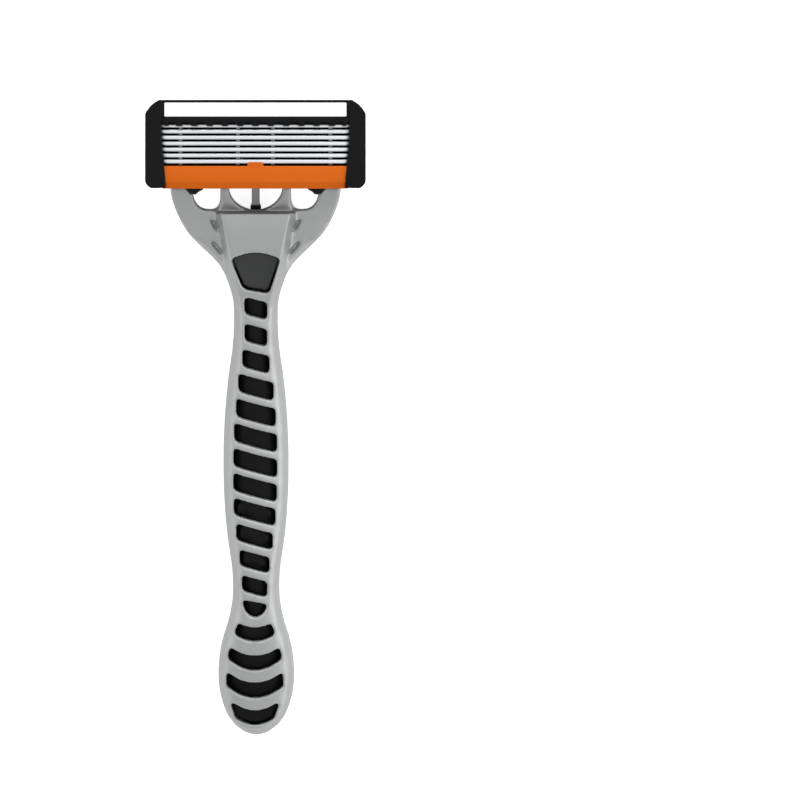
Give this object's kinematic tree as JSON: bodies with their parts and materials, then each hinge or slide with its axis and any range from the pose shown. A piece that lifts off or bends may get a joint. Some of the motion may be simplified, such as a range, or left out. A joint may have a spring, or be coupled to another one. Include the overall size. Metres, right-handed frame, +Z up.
{
  "type": "cartridge razor",
  "caption": "Cartridge razor: satin silver windowed handle over a black grip, orange guard, white strip and a pivoting multi-blade head.",
  "frame": {"origin": "centre of the razor's length and width, on the plane it rests on", "axes": "+Y from the handle's butt towards the cartridge, +Z up towards the shaving side, X across the cartridge"},
  "size_m": [0.043, 0.1291, 0.0196],
  "materials": {
    "satin_silver": "satin",
    "black_rubber": "satin",
    "black_gloss": "gloss",
    "black_matte": "matte",
    "button_grey": "satin",
    "plunger_grey": "satin",
    "steel": "brushed",
    "spring_steel": "satin",
    "orange_rubber": "satin",
    "white_strip": "matte"
  },
  "bodies": {
    "handle": {"handle_frame": "satin_silver", "grip_insert": "black_rubber", "neck_cover": "black_matte", "plunger_bush": "black_gloss", "plunger_spring": "spring_steel", "button_spring": "spring_steel"},
    "release": {"release_button": "button_grey", "ejector": "black_matte"},
    "plunger": {"plunger": "plunger_grey"},
    "connector": {"connector": "black_gloss"},
    "cartridge": {"cartridge_frame": "black_matte", "strip_bezel": "black_gloss", "lube_strip": "white_strip", "guard_pad": "orange_rubber", "end_cap_left": "black_gloss", "end_cap_right": "black_gloss", "blade_1": "steel", "blade_2": "steel", "blade_3": "steel", "blade_4": "steel", "blade_5": "steel", "blade_6": "steel", "blade_7": "steel", "blade_support_1": "spring_steel", "blade_support_2": "spring_steel", "blade_support_3": "spring_steel", "blade_support_4": "spring_steel", "blade_support_5": "spring_steel", "blade_support_6": "spring_steel", "blade_support_7": "spring_steel", "blade_spacer_1": "plunger_grey", "blade_spacer_2": "plunger_grey", "blade_spacer_3": "plunger_grey", "blade_spacer_4": "plunger_grey"}
  },
  "joints": [
    {"name": "release_button", "type": "slide", "parent": "handle", "child": "release", "axis": [0, 1, 0], "range_m": [0, 0.003], "stiffness_N_per_m": 800, "springref_m": -0.001, "deforming": ["button_spring"]},
    {"name": "cartridge_release", "type": "slide", "parent": "handle", "child": "connector", "axis": [0, 1, 0], "range_m": [0, 0.015]},
    {"name": "cartridge_pivot", "type": "hinge", "parent": "connector", "child": "cartridge", "pos_m": [0, 0.05238, 0.01128], "axis": [-1, 0, 0], "range_deg": [0, 40], "stiffness_Nm_per_rad": 0.015, "springref_deg": -20.05},
    {"name": "plunger_slide", "type": "slide", "parent": "handle", "child": "plunger", "axis": [0, 1, 0], "range_m": [-0.0033, 0], "deforming": ["plunger_spring"]}
  ],
  "couplings": [
    {"joint": "plunger_slide", "follows": "cartridge_pivot", "m_per_rad": -0.00467}
  ]
}
